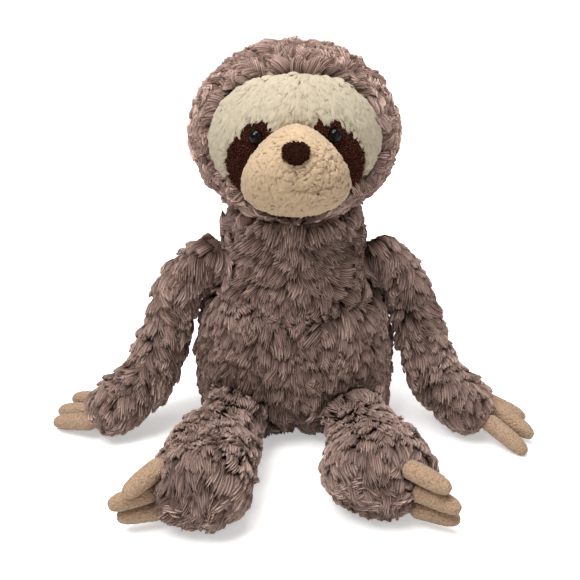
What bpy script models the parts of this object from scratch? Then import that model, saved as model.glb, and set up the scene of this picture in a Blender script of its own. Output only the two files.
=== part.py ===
"""Seated plush sloth: sewn skins over fibre fillings, a face of set-in panels, and stuffed limbs and claws."""
import math

import bmesh
import bpy
from mathutils import Vector

# Fabrics and clearances, in metres
BODY_WALL = 0.006
LIMB_WALL = 0.005
PAW_WALL = 0.009
PILE_DIFFERENCE = 0.003
SEAM_GAP = 0.0003
LINING_GAP = 0.0005
BALL_GAP = 0.0004
CLAW_GAP = 0.0006
CUT_OVERRUN = 0.010

# Torso
TORSO_HALF_WIDTH = 0.071
TORSO_FRONT_DEPTH = 0.058
TORSO_BACK_DEPTH = 0.051
TORSO_HEIGHT = 0.171
TORSO_LEAN = 0.005
COLLAR_RADIUS = 0.044
COLLAR_RIM = 0.004
NECK_HOLE_RADIUS = 0.019
PELLET_BAG_HALF_WIDTH = 0.038
PELLET_BAG_HALF_DEPTH = 0.026
PELLET_BAG_HEIGHT = 0.022
# Height and size shares of the pellet bag, from its flat underside up
PELLET_BAG_SHARES = ((0.0, 0.88), (0.25, 1.0), (0.60, 0.95), (0.85, 0.74), (1.0, 0.45))
# Height, half width, front depth and back depth, each a share of the torso's own size
TORSO_SHARES = (
    (0.0, 0.78, 0.50, 0.80),
    (0.03, 0.90, 0.67, 0.91),
    (0.08, 0.97, 0.82, 0.97),
    (0.20, 1.0, 0.96, 1.0),
    (0.34, 1.0, 1.0, 1.0),
    (0.54, 0.925, 0.92, 0.97),
    (0.66, 0.82, 0.79, 0.92),
    (0.73, 0.765, 0.745, 0.89),
    (0.82, 0.70, 0.72, 0.87),
    (0.92, 0.645, 0.73, 0.87),
    (1.0, 0.62, 0.76, 0.865),
)

# Head
HEAD_HALF_WIDTH = 0.070
HEAD_HALF_DEPTH = 0.061
HEAD_HALF_HEIGHT = 0.060
NECK_SEAT_BLEND = 0.014
FACE_TILT = math.radians(25)
FACE_ROLL = math.radians(1)
FACE_CUT_DEPTH = 0.005
# Outlines on the face: shares of the head's half width and half height, right half first to last
BROW_SHARES = (
    (0.0, 0.49), (0.21, 0.475), (0.41, 0.425), (0.58, 0.31), (0.71, 0.14), (0.785, -0.09),
    (0.77, -0.31), (0.70, -0.50), (0.62, -0.55), (0.50, -0.42), (0.30, -0.30), (0.0, -0.25),
)
FACE_OPENING_SHARES = (
    (0.0, 0.49), (0.21, 0.475), (0.41, 0.425), (0.58, 0.31), (0.71, 0.14), (0.785, -0.09),
    (0.77, -0.31), (0.71, -0.51), (0.63, -0.67), (0.53, -0.76), (0.30, -0.80), (0.0, -0.80),
)
EYE_PATCH_SHARES = (
    (0.19, -0.03), (0.29, 0.045), (0.43, -0.01), (0.55, -0.14), (0.62, -0.30), (0.635, -0.46),
    (0.60, -0.60), (0.51, -0.71), (0.40, -0.70), (0.22, -0.56), (0.13, -0.22),
)

# Muzzle and nose
MUZZLE_HALF_WIDTH = 0.0335
MUZZLE_HALF_HEIGHT = 0.0290
MUZZLE_DROP = 0.0330
MUZZLE_REACH = 0.0855
MUZZLE_WALL = 0.003
MUZZLE_TOP_SHARE = 0.34
NOSE_HALF_WIDTH = 0.0092
NOSE_HALF_HEIGHT = 0.0082
NOSE_THICKNESS = 0.0095
NOSE_SINK = 0.0050
NOSE_RISE = 0.0062
NOSE_BOTTOM_SHARE = 0.30
# Height above the nose's underside and size shares
NOSE_SHARES = ((0.0, 0.86), (0.35, 1.0), (0.70, 0.93), (0.90, 0.66), (1.0, 0.30))
# Reach from the head's centre and scale of the muzzle's outline, as shares
MUZZLE_SHARES = (
    (0.16, 0.80), (0.34, 0.93), (0.50, 0.985), (0.62, 1.0), (0.72, 0.97),
    (0.82, 0.875), (0.90, 0.73), (0.96, 0.51), (0.99, 0.28), (1.0, 0.10),
)

# Eyes
EYE_RADIUS = 0.0049
EYE_DOME_HEIGHT = 0.0042
EYE_STEM_RADIUS = 0.0018
EYE_STEM_LENGTH = 0.0110
EYE_SEAT = 0.0006
EYE_SPREAD = 0.0248
EYE_DROP = 0.0110
WASHER_RADIUS = 0.0065
WASHER_THICKNESS = 0.0015
WASHER_SINK = 0.0014

# Arms: the shoulder's place, then how far the paw lies out, down and forward from it
SHOULDER_SPREAD = 0.0605
SHOULDER_HEIGHT = 0.129
SHOULDER_FORWARD = -0.003
SHOULDER_RADIUS = 0.0195
ARM_NECK_RADIUS = 0.0160
ARM_HALF_WIDTH = 0.0185
ARM_HALF_THICKNESS = 0.0180
LEFT_ARM_REACH = 0.073
LEFT_ARM_DROP = 0.107
LEFT_ARM_FORWARD = 0.032
RIGHT_ARM_REACH = 0.068
RIGHT_ARM_DROP = 0.1065
RIGHT_ARM_FORWARD = 0.031
HAND_CAP = 0.017
ROOT_OPENING_RADIUS = 0.0095
# Reach, forward and drop shares along the arm
ARM_ROUTE_SHARES = (
    (0.0, 0.0, 0.0), (0.16, 0.11, 0.07), (0.29, 0.19, 0.19), (0.38, 0.28, 0.37),
    (0.47, 0.43, 0.56), (0.58, 0.63, 0.75), (0.76, 0.84, 0.90), (1.0, 1.0, 1.0),
)
# Place along the arm, width and thickness shares
ARM_SECTION_SHARES = (
    (0.0, 0.88, 0.88), (0.14, 0.93, 0.93), (0.35, 0.93, 0.92), (0.55, 1.0, 1.0),
    (0.76, 1.12, 1.10), (1.0, 1.17, 1.12),
)

# Legs: the hip's place, then how far the foot lies out, forward and up from it
HIP_SPREAD = 0.043
HIP_FORWARD = 0.051
HIP_HEIGHT = 0.0265
HIP_RADIUS = 0.0225
LEG_NECK_RADIUS = 0.0185
FOOT_HALF_WIDTH = 0.0325
FOOT_HALF_HEIGHT = 0.0292
LEFT_LEG_OUT = 0.0155
LEFT_LEG_FORWARD = 0.090
RIGHT_LEG_OUT = 0.016
RIGHT_LEG_FORWARD = 0.076
FOOT_RISE = 0.0035
FOOT_CAP = 0.021
LEG_ROUTE_SHARES = (
    (0.0, 0.0, 0.0), (0.30, 0.26, -0.10), (0.64, 0.58, 0.35), (0.88, 0.82, 0.80), (1.0, 1.0, 1.0),
)
LEG_SECTION_SHARES = (
    (0.0, 0.60, 0.65), (0.22, 0.70, 0.78), (0.48, 0.80, 0.88), (0.76, 0.95, 0.98), (1.0, 1.0, 1.0),
)

# Claws
HAND_CLAW_LENGTH = 0.0320
FOOT_CLAW_LENGTH = 0.0265
CLAW_HALF_WIDTH = 0.0061
CLAW_HALF_THICKNESS = 0.0058
CLAW_RISE = 0.0012
CLAW_SWING = math.radians(15)
CLAW_SWING_SPARE = math.radians(2)
# Place along the claw, width, thickness and droop shares
CLAW_SHARES = (
    (0.0, 1.0, 1.0, 0.0), (0.22, 1.0, 1.0, 0.0), (0.45, 0.98, 0.99, 0.04), (0.66, 0.92, 0.94, 0.12),
    (0.82, 0.80, 0.82, 0.21), (0.93, 0.58, 0.60, 0.28), (0.985, 0.30, 0.32, 0.32),
)
CLAW_DROOP = 0.0030

# Rows of claws: each claw's name, where its root lies on the paw and where it points, each as degrees
# turned forward from straight out to the side, then degrees up
HAND_CLAWS = {
    "left": (
        ("left_hand_claw_front", 24, -26, -25, -14),
        ("left_hand_claw_middle", -28, -25, -30, -14),
        ("left_hand_claw_back", -68, -15, -35, -13),
    ),
    "right": (
        ("right_hand_claw_front", 46, -18, 37, -23),
        ("right_hand_claw_middle", -6, -10, 33, -20),
        ("right_hand_claw_back", -56, -10, 22, -15),
    ),
}
FOOT_CLAWS = {
    "left": (
        ("left_foot_claw_top", -2, 31, 40, -18),
        ("left_foot_claw_middle", 2, -2, 18, -8),
        ("left_foot_claw_bottom", -2, -31, 12, -2),
    ),
    "right": (
        ("right_foot_claw_top", 47, 38, 30, -11),
        ("right_foot_claw_middle", 38, -3, 28, -6),
        ("right_foot_claw_bottom", 28, -38, 22, -2),
    ),
}

BODY_SEGMENTS = 24
HEAD_SEGMENTS = 28
LIMB_SEGMENTS = 12
SOCKET_SEGMENTS = 20
CLAW_SEGMENTS = 8
SEAT_RINGS = 4
MUZZLE_SEGMENTS = 20
OUTLINE_STEPS = 2
RINGS_PER_STATION = 1
CROWN_RINGS = 10
DOME_RINGS = 3
CAP_STEPS = 3
LIMB_RINGS = 8
BALL_RINGS = 4
ROOT_RINGS = 3
BISECTIONS = 30
CROWN_SHARE = 0.94
DOME_TOP_SHARE = 0.5
CAP_TIP_SHARE = 0.35
ROOT_TIP_SHARE = 0.4
COLLAR_BLEND_SHARE = 0.90
FRAME_STEP_SHARE = 0.04
NECK_STEP_SHARE = 0.03
NOSE_PLACE_SHARE = 0.96
NOSE_LIFT = 0.0035
SHARP_ANGLE = math.radians(40)

FUR = ("mauve_fur", (0.23, 0.165, 0.15, 1.0), 0.9)
FILLING = ("fibre_filling", (0.85, 0.85, 0.83, 1.0), 0.95)
CREAM = ("cream_plush", (0.83, 0.77, 0.64, 1.0), 0.85)
TAN = ("tan_velour", (0.72, 0.55, 0.38, 1.0), 0.8)
DARK = ("dark_brown_velour", (0.030, 0.014, 0.011, 1.0), 0.85)
BLACK_GLOSS = ("black_eye_plastic", (0.006, 0.006, 0.007, 1.0), 0.08)
WHITE_PLASTIC = ("white_washer_plastic", (0.80, 0.80, 0.78, 1.0), 0.45)
CLOTH = ("pellet_bag_cloth", (0.62, 0.60, 0.56, 1.0), 0.9)

SIDES = {"left": -1, "right": 1}
TOWARDS_FACE = Vector((0, -math.cos(FACE_TILT), math.sin(FACE_TILT)))
FACE_ACROSS = Vector((math.cos(FACE_ROLL), 0, 0)) + math.sin(FACE_ROLL) * Vector(
    (0, math.sin(FACE_TILT), math.cos(FACE_TILT)))
FACE_UP = TOWARDS_FACE.cross(FACE_ACROSS).normalized()

SEAT_ANGLE = math.acos((COLLAR_RADIUS - COLLAR_RIM) / HEAD_HALF_WIDTH)
HOLE_ANGLE = math.acos(NECK_HOLE_RADIUS / HEAD_HALF_WIDTH)
HEAD_CENTRE = Vector((0, TORSO_LEAN, TORSO_HEIGHT + SEAM_GAP + HEAD_HALF_HEIGHT * math.sin(SEAT_ANGLE)))


def clear_scene():
    for old in list(bpy.data.objects):
        bpy.data.objects.remove(old, do_unlink=True)


def fabric(look):
    """A material of one fabric or plastic, made once and shared."""
    name, colour, roughness = look
    material = bpy.data.materials.get(name)
    if material is None:
        material = bpy.data.materials.new(name)
        material.use_nodes = True
        shader = material.node_tree.nodes["Principled BSDF"]
        shader.inputs["Base Color"].default_value = colour
        shader.inputs["Roughness"].default_value = roughness
        shader.inputs["Metallic"].default_value = 0
        material.diffuse_color = colour
    return material


def smooth_row(table, place):
    """A row of a table read between its rows, along a smooth curve through them."""
    last = len(table) - 1
    low = 0
    while low < last - 1 and place > table[low + 1][0]:
        low += 1
    row, following = table[low], table[low + 1]
    before = table[max(low - 1, 0)]
    after = table[min(low + 2, last)]
    span = following[0] - row[0]
    step = (place - row[0]) / span
    values = []
    for column in range(1, len(row)):
        slope_in = (following[column] - before[column]) / (following[0] - before[0]) * span
        slope_out = (after[column] - row[column]) / (after[0] - row[0]) * span
        rise = following[column] - row[column]
        cubic = slope_in + slope_out - 2 * rise
        square = 3 * rise - 2 * slope_in - slope_out
        values.append(row[column] + step * (slope_in + step * (square + step * cubic)))
    return values


def ease(share):
    """Zero below 0, one above 1 and a smooth step between."""
    share = min(max(share, 0.0), 1.0)
    return share * share * (3 - 2 * share)


def places_along(table, per_row):
    """Places at the rows of a table and evenly between them."""
    places = []
    for row, following in zip(table, table[1:]):
        places += [row[0] + (following[0] - row[0]) * step / per_row for step in range(per_row)]
    return places + [table[-1][0]]


def ellipse_ring(centre, across, upward, half_width, half_height, segments):
    """Points round an ellipse whose two half axes lie along across and upward."""
    ring = []
    for step in range(segments):
        turn = math.tau * step / segments
        ring.append(centre + across * (half_width * math.cos(turn)) + upward * (half_height * math.sin(turn)))
    return ring


def loft(name, rings, look, pivot=None):
    """A closed solid through rings of equal point counts, with a flat face on its first and last ring."""
    pivot = pivot or Vector()
    shape = bmesh.new()
    rows = [[shape.verts.new(point - pivot) for point in ring] for ring in rings]
    for low, high in zip(rows, rows[1:]):
        for step in range(len(low)):
            after = (step + 1) % len(low)
            shape.faces.new((low[step], low[after], high[after], high[step]))
    shape.faces.new(rows[0])
    shape.faces.new(rows[-1])
    bmesh.ops.recalc_face_normals(shape, faces=shape.faces)
    return finish_object(name, shape, look, pivot)


def finish_object(name, shape, look, pivot):
    mesh = bpy.data.meshes.new(name)
    shape.to_mesh(mesh)
    shape.free()
    mesh.shade_smooth()
    mesh.set_sharp_from_angle(angle=SHARP_ANGLE)
    mesh.materials.append(fabric(look))
    piece = bpy.data.objects.new(name, mesh)
    bpy.context.scene.collection.objects.link(piece)
    piece.location = pivot
    return piece


def guide(piece):
    """Marks a solid that only cuts or bounds others."""
    piece.hide_render = True
    piece.display_type = "WIRE"
    return piece


def combine(piece, tool, operation="DIFFERENCE"):
    change = piece.modifiers.new(operation.lower() + "_" + tool.name, "BOOLEAN")
    change.operation = operation
    change.solver = "EXACT"
    change.object = tool


def carry(piece, carrier):
    """Hangs a piece on another one without moving it."""
    place = piece.location.copy()
    piece.parent = carrier
    piece.location = place - carried_place(carrier)


def carried_place(piece):
    place = piece.location.copy()
    while piece.parent:
        piece = piece.parent
        place += piece.location
    return place


def body_ring(height, inset, width, front, back, segments, centre_y):
    """A level ring with its own half width, front depth and back depth, drawn in by an inset."""
    ring = []
    for step in range(segments):
        turn = math.tau * step / segments
        depth = back if math.sin(turn) > 0 else front
        ring.append(Vector((
            (width - inset) * math.cos(turn),
            centre_y + (depth - inset) * math.sin(turn),
            height,
        )))
    return ring


def torso_ring(share, inset, height=None):
    """The torso's outline at a share of its height, drawn in by an inset."""
    width_share, front_share, back_share = smooth_row(TORSO_SHARES, share)
    to_collar = ease((share - COLLAR_BLEND_SHARE) / (1 - COLLAR_BLEND_SHARE))
    width = TORSO_HALF_WIDTH * width_share * (1 - to_collar) + COLLAR_RADIUS * to_collar
    front = TORSO_FRONT_DEPTH * front_share * (1 - to_collar) + COLLAR_RADIUS * to_collar
    back = TORSO_BACK_DEPTH * back_share * (1 - to_collar) + COLLAR_RADIUS * to_collar
    level = TORSO_HEIGHT * share if height is None else height
    return body_ring(level, inset, width, front, back, BODY_SEGMENTS, TORSO_LEAN * ease(share))


def seat_angles():
    """Angles below the head's middle, from the collar's rim to the neck hole."""
    return [SEAT_ANGLE + (HOLE_ANGLE - SEAT_ANGLE) * step / SEAT_RINGS for step in range(SEAT_RINGS + 1)]


def seat_ring(angle):
    """One ring of the bowl that the head turns in."""
    radius = (HEAD_HALF_WIDTH * math.cos(angle) + SEAM_GAP) / math.cos(math.pi / BODY_SEGMENTS)
    height = HEAD_CENTRE.z - HEAD_HALF_HEIGHT * math.sin(angle) - SEAM_GAP
    return body_ring(height, 0, radius, radius, radius, BODY_SEGMENTS, TORSO_LEAN)


def collar_ring(radius, height, segments=BODY_SEGMENTS):
    return body_ring(height, 0, radius, radius, radius, segments, TORSO_LEAN)


def make_torso():
    """Skin with a bowl for the head on top, its fibre filling, and the pellet bag in its seat."""
    outer = [torso_ring(share, 0) for share in places_along(TORSO_SHARES, RINGS_PER_STATION)]
    bowl = [seat_ring(angle) for angle in seat_angles()]
    rim_height = bowl[-1][0].z
    ceiling = TORSO_HEIGHT - 2 * BODY_WALL
    inner_shares = [share for share in places_along(TORSO_SHARES, 1)
                    if BODY_WALL < TORSO_HEIGHT * share < ceiling - BODY_WALL]
    skin_inner = [collar_ring(NECK_HOLE_RADIUS, rim_height - BODY_WALL)]
    skin_inner += [torso_ring(ceiling / TORSO_HEIGHT, BODY_WALL)]
    skin_inner += [torso_ring(share, BODY_WALL) for share in reversed(inner_shares)]
    skin_inner += [torso_ring(BODY_WALL / TORSO_HEIGHT, BODY_WALL)]
    skin = loft("torso_skin", outer + bowl + skin_inner, FUR)

    inset = BODY_WALL + LINING_GAP
    floor = BODY_WALL + SEAM_GAP
    rings = [torso_ring(floor / TORSO_HEIGHT, inset)]
    rings += [torso_ring(share, inset) for share in inner_shares]
    rings += [torso_ring((ceiling - LINING_GAP) / TORSO_HEIGHT, inset)]
    boss = NECK_HOLE_RADIUS - SEAM_GAP
    rings += [collar_ring(boss, rim_height - BODY_WALL - LINING_GAP), collar_ring(boss, rim_height - SEAM_GAP)]
    filling = loft("torso_filling", rings, FILLING)

    bag = pellet_bag("pellet_bag", 0, floor)
    hollow = guide(pellet_bag("pellet_bag_hollow", SEAM_GAP, floor - CUT_OVERRUN))
    combine(filling, hollow)
    for piece in (filling, bag):
        carry(piece, skin)
    return skin, filling


def pellet_bag(name, growth, bottom):
    """A low round bag of pellets, grown all round for the hollow that holds it."""
    floor = BODY_WALL + SEAM_GAP
    rings = []
    for height_share, size_share in PELLET_BAG_SHARES:
        height = floor + (PELLET_BAG_HEIGHT + growth) * height_share
        width = PELLET_BAG_HALF_WIDTH * size_share + growth
        depth = PELLET_BAG_HALF_DEPTH * size_share + growth
        rings.append(body_ring(height, 0, width, depth, depth, LIMB_SEGMENTS, TORSO_LEAN))
    if bottom < floor:
        rings.insert(0, [Vector((point.x, point.y, bottom)) for point in rings[0]])
    return loft(name, rings, CLOTH)


def head_ring(angle, inset):
    """A level ring of the head at an angle above its middle: oval, and round where it meets the collar."""
    level = HEAD_CENTRE.z + (HEAD_HALF_HEIGHT - inset) * math.sin(angle)
    width = (HEAD_HALF_WIDTH - inset) * math.cos(angle)
    depth = (HEAD_HALF_DEPTH - inset) * math.cos(angle)
    roundness = 1 - ease((level - TORSO_HEIGHT - COLLAR_RIM) / NECK_SEAT_BLEND)
    depth += (width - depth) * roundness
    return body_ring(level, 0, width, depth, depth, HEAD_SEGMENTS, TORSO_LEAN)


def head_form(name, inset):
    """The whole head drawn in by an inset, as a guide for its panels."""
    return guide(loft(name, [head_ring(angle, inset) for angle in head_angles()], FUR))


def head_angles():
    """Angles from just under the crown down to the collar's rim, then on to the neck hole."""
    top = math.pi / 2 * CROWN_SHARE
    crown = [top - (SEAT_ANGLE + top) * step / CROWN_RINGS for step in range(CROWN_RINGS)]
    return crown + [-angle for angle in seat_angles()]


def make_head():
    """Head skin with a face opening, and the fibre filling that its panels lie on."""
    outer = [head_ring(angle, 0) for angle in head_angles()]
    inner = [head_ring(angle, BODY_WALL) for angle in reversed(head_angles())]
    skin = loft("head_skin", outer + inner, FUR, HEAD_CENTRE)

    inset = BODY_WALL + SEAM_GAP
    boss = (HEAD_HALF_WIDTH - inset) * math.cos(HOLE_ANGLE)
    rings = [head_ring(angle, inset) for angle in head_angles()]
    rings.append(collar_ring(boss, HEAD_CENTRE.z - HEAD_HALF_HEIGHT * math.sin(HOLE_ANGLE), HEAD_SEGMENTS))
    filling = loft("head_filling", rings, FILLING, HEAD_CENTRE)
    carry(filling, skin)
    return skin, filling


def face_point(across, up, reach):
    """A point in front of the head's middle: across the face, up it and out towards the viewer."""
    return HEAD_CENTRE + FACE_ACROSS * across + FACE_UP * up + TOWARDS_FACE * reach


def mirrored(half):
    """A closed outline from its right half, which starts and ends on the middle line."""
    return list(half) + [(-across, up) for across, up in reversed(half[1:-1])]


def rounded(points):
    """A smooth closed curve through an outline's points."""
    curve = []
    count = len(points)
    for index in range(count):
        before, start, end, after = (points[(index + offset) % count] for offset in (-1, 0, 1, 2))
        for step in range(OUTLINE_STEPS):
            share = step / OUTLINE_STEPS
            weights = (
                (-share + 2 * share ** 2 - share ** 3) / 2,
                (2 - 5 * share ** 2 + 3 * share ** 3) / 2,
                (share + 4 * share ** 2 - 3 * share ** 3) / 2,
                (share ** 3 - share ** 2) / 2,
            )
            curve.append(tuple(
                sum(weight * point[axis] for weight, point in zip(weights, (before, start, end, after)))
                for axis in (0, 1)))
    return curve


def grown(outline, growth):
    """An outline moved outwards all round by a small growth."""
    area = sum(a[0] * b[1] - b[0] * a[1] for a, b in zip(outline, outline[1:] + outline[:1]))
    turn = 1 if area > 0 else -1
    moved = []
    for index, point in enumerate(outline):
        before = outline[index - 1]
        after = outline[(index + 1) % len(outline)]
        along = Vector((after[0] - before[0], after[1] - before[1])).normalized() * turn
        moved.append((point[0] + along.y * growth, point[1] - along.x * growth))
    return moved


def face_prism(name, shares, growth, look):
    """An outline of the face pushed out past the head's front, as one solid block."""
    sized = [(across * HEAD_HALF_WIDTH, up * HEAD_HALF_HEIGHT) for across, up in shares]
    outline = grown(rounded(sized), growth)
    reaches = (FACE_CUT_DEPTH, HEAD_HALF_WIDTH + CUT_OVERRUN)
    return loft(name, [[face_point(across, up, reach) for across, up in outline] for reach in reaches], look,
                HEAD_CENTRE)


def muzzle_form(name, inset, look, deepest_share):
    """The muzzle as a stack of egg-shaped outlines from inside the head to its tip, drawn in by an inset."""
    rings = []
    start = MUZZLE_SHARES[0][0]
    places = [place for place in places_along(MUZZLE_SHARES, 1) if place > deepest_share]
    for place in [deepest_share] + places:
        scale = smooth_row(MUZZLE_SHARES, max(place, start))[0]
        rings.append([face_point(*muzzle_outline(turn, scale, inset), (MUZZLE_REACH - inset) * place)
                      for turn in turns(MUZZLE_SEGMENTS)])
    return loft(name, rings, look, HEAD_CENTRE)


def turns(count):
    return [math.tau * step / count for step in range(count)]


def muzzle_outline(turn, scale, inset):
    """A point of the egg-shaped outline, narrow at the top, at a scale and drawn in by an inset."""
    width = max(MUZZLE_HALF_WIDTH * scale - inset, SEAM_GAP)
    height = max(MUZZLE_HALF_HEIGHT * scale - inset, SEAM_GAP)
    across = width * math.sin(turn) * (1 - MUZZLE_TOP_SHARE * math.cos(turn))
    rise = (1 - scale) * NOSE_RISE
    return across, height * math.cos(turn) - MUZZLE_DROP + rise


def make_face(head_skin, head_filling):
    """Cream brow, dark eye patches and tan muzzle, set into the head skin's opening edge to edge."""
    panel_top = head_form("panel_top_guide", PILE_DIFFERENCE)
    panel_bottom = head_form("panel_bottom_guide", BODY_WALL)
    muzzle_room = guide(muzzle_form("muzzle_room_guide", -SEAM_GAP, TAN, MUZZLE_SHARES[0][0] / 2))
    opening = guide(face_prism("face_opening_guide", mirrored(FACE_OPENING_SHARES), SEAM_GAP, FUR))
    combine(head_skin, opening)
    combine(head_skin, muzzle_room)

    patches = []
    patch_rooms = []
    for side_name, side in SIDES.items():
        outline = [(side * across, up) for across, up in EYE_PATCH_SHARES]
        patch_rooms.append(guide(face_prism("eye_patch_room_" + side_name, outline, SEAM_GAP, DARK)))
        patch = face_prism("eye_patch_" + side_name, outline, 0, DARK)
        patches.append(patch)

    brow = face_prism("brow_panel", mirrored(BROW_SHARES), 0, CREAM)
    for panel in [brow] + patches:
        combine(panel, panel_top, "INTERSECT")
        combine(panel, panel_bottom)
        combine(panel, muzzle_room)
        carry(panel, head_skin)
    for room in patch_rooms:
        combine(brow, room)

    make_muzzle(head_skin, panel_bottom)
    make_nose(head_skin)
    make_eyes(head_skin, patches, head_filling)


def make_muzzle(head_skin, panel_bottom):
    """Muzzle skin open at its back, with its own filling, both resting on the head's filling."""
    skin = muzzle_form("muzzle", 0, TAN, MUZZLE_SHARES[0][0] / 2)
    room = guide(muzzle_form("muzzle_cavity_guide", MUZZLE_WALL, TAN, 0))
    combine(skin, panel_bottom)
    combine(skin, room)
    filling = muzzle_form("muzzle_filling", MUZZLE_WALL + SEAM_GAP, FILLING, MUZZLE_SHARES[0][0] / 2)
    combine(filling, panel_bottom)
    carry(skin, head_skin)
    carry(filling, head_skin)


def make_nose(head_skin):
    """A soft rounded triangle with its wide side up, seated on the muzzle."""
    seat_share = smooth_row(MUZZLE_SHARES, NOSE_PLACE_SHARE)[0]
    up = NOSE_RISE * (1 - seat_share) - MUZZLE_DROP + NOSE_LIFT
    bottom = MUZZLE_REACH - NOSE_SINK
    rings = []
    for height_share, size_share in NOSE_SHARES:
        ring = []
        for turn in turns(LIMB_SEGMENTS):
            across = NOSE_HALF_WIDTH * size_share * math.sin(turn) * (1 + NOSE_BOTTOM_SHARE * math.cos(turn))
            rise = NOSE_HALF_HEIGHT * size_share * math.cos(turn)
            ring.append(face_point(across, up + rise, bottom + NOSE_THICKNESS * height_share))
        rings.append(ring)
    nose = loft("nose", rings, DARK, HEAD_CENTRE)
    seat = guide(muzzle_form("nose_seat_guide", -SEAM_GAP, TAN, MUZZLE_SHARES[0][0]))
    combine(nose, seat)
    carry(nose, head_skin)


def panel_surface(across, up, inset):
    """The point of the head's form, drawn in by an inset, that lies straight behind a point of the face."""
    low, high = 0.0, HEAD_HALF_WIDTH
    for _ in range(BISECTIONS):
        middle = (low + high) / 2
        offset = face_point(across, up, middle) - HEAD_CENTRE
        shell = math.hypot(
            offset.x / (HEAD_HALF_WIDTH - inset),
            offset.y / (HEAD_HALF_DEPTH - inset),
            offset.z / (HEAD_HALF_HEIGHT - inset))
        if shell > 1:
            high = middle
        else:
            low = middle
    return face_point(across, up, low)


def surface_direction(point, inset):
    """The way out of the head's form at a point on it."""
    offset = point - HEAD_CENTRE
    return Vector((
        offset.x / (HEAD_HALF_WIDTH - inset) ** 2,
        offset.y / (HEAD_HALF_DEPTH - inset) ** 2,
        offset.z / (HEAD_HALF_HEIGHT - inset) ** 2,
    )).normalized()


def turned(name, profile, base, outward, look, segments=LIMB_SEGMENTS):
    """A solid turned round an axis from pairs of radius and height."""
    across = outward.orthogonal().normalized()
    upward = outward.cross(across)
    rings = [ellipse_ring(base + outward * height, across, upward, radius, radius, segments)
             for radius, height in profile]
    return loft(name, rings, look, base)


def make_eyes(head_skin, patches, head_filling):
    """Domed safety eyes, whose stems pass through the eye patches, and the washers that hold them inside."""
    for (side_name, side), patch in zip(SIDES.items(), patches):
        seat = panel_surface(side * EYE_SPREAD, -EYE_DROP, PILE_DIFFERENCE)
        outward = surface_direction(seat, PILE_DIFFERENCE)
        base = seat + outward * EYE_SEAT
        stem = EYE_STEM_RADIUS
        profile = [(stem, -EYE_STEM_LENGTH), (stem, 0), (EYE_RADIUS, 0)]
        for step in range(1, DOME_RINGS + 1):
            angle = math.pi / 2 * step / (DOME_RINGS + DOME_TOP_SHARE)
            profile.append((EYE_RADIUS * math.cos(angle), EYE_DOME_HEIGHT * math.sin(angle)))
        eye = turned("eye_" + side_name, profile, base, outward, BLACK_GLOSS)

        room = EYE_STEM_RADIUS + SEAM_GAP
        bore = guide(turned("eye_bore_" + side_name, [(room, -EYE_STEM_LENGTH - SEAM_GAP), (room, CUT_OVERRUN)],
                            base, outward, DARK))
        combine(patch, bore)
        combine(head_filling, bore)

        back = base - outward * (BODY_WALL - PILE_DIFFERENCE + EYE_SEAT + WASHER_SINK)
        front = WASHER_THICKNESS
        washer = turned("eye_washer_" + side_name, [(WASHER_RADIUS, -front), (WASHER_RADIUS, 0)],
                        back, outward, WHITE_PLASTIC)
        combine(washer, bore)
        wide = WASHER_RADIUS + SEAM_GAP
        pocket = guide(turned("washer_pocket_" + side_name, [(wide, -front - SEAM_GAP), (wide, CUT_OVERRUN)],
                              back, outward, FILLING))
        combine(head_filling, pocket)
        for piece in (eye, washer):
            carry(piece, head_skin)


class Limb:
    """A limb's route from its root ball to its paw, with the frame and half sizes at each place on it."""

    def __init__(self, pivot, side, spans, route_shares, section_shares, half_width, half_height, cap, level):
        self.pivot = pivot
        self.level = level
        out, forward, rise = spans
        points = [pivot + Vector((side * out * a, -forward * b, rise * c)) for a, b, c in route_shares]
        lengths = [0.0]
        for start, end in zip(points, points[1:]):
            lengths.append(lengths[-1] + (end - start).length)
        self.length = lengths[-1]
        self.route = [(length / self.length, *point) for length, point in zip(lengths, points)]
        self.sections = section_shares
        self.half_width = half_width
        self.half_height = half_height
        self.cap = cap

    def centre(self, place):
        return Vector(smooth_row(self.route, place))

    def frame(self, place):
        """Unit vectors along the limb, across it and square to both."""
        low = max(place - FRAME_STEP_SHARE, 0.0)
        high = min(place + FRAME_STEP_SHARE, 1.0)
        along = (self.centre(high) - self.centre(low)).normalized()
        across = (self.level - along * along.dot(self.level)).normalized()
        return along, across, along.cross(across)

    def sizes(self, place):
        width_share, height_share = smooth_row(self.sections, place)
        return self.half_width * width_share, self.half_height * height_share

    def ring(self, place, inset):
        _, across, upward = self.frame(place)
        width, height = self.sizes(place)
        return ellipse_ring(self.centre(place), across, upward, width - inset, height - inset, LIMB_SEGMENTS)

    def cap_rings(self, inset, end_inset):
        """Rings that round off the paw, from its middle to its tip."""
        along, across, upward = self.frame(1.0)
        width, height = self.sizes(1.0)
        rings = []
        for step in range(1, CAP_STEPS + 1):
            angle = math.pi / 2 * step / (CAP_STEPS + CAP_TIP_SHARE)
            centre = self.centre(1.0) + along * ((self.cap - end_inset) * math.sin(angle))
            rings.append(ellipse_ring(centre, across, upward, (width - inset) * math.cos(angle),
                                      (height - inset) * math.cos(angle), LIMB_SEGMENTS))
        return rings

    def surface(self, direction):
        """The point of the paw's round end that lies in a direction from its middle."""
        along, across, upward = self.frame(1.0)
        width, height = self.sizes(1.0)
        reach = math.hypot(direction.dot(along) / self.cap, direction.dot(across) / width,
                           direction.dot(upward) / height)
        return self.centre(1.0) + direction / reach


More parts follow.
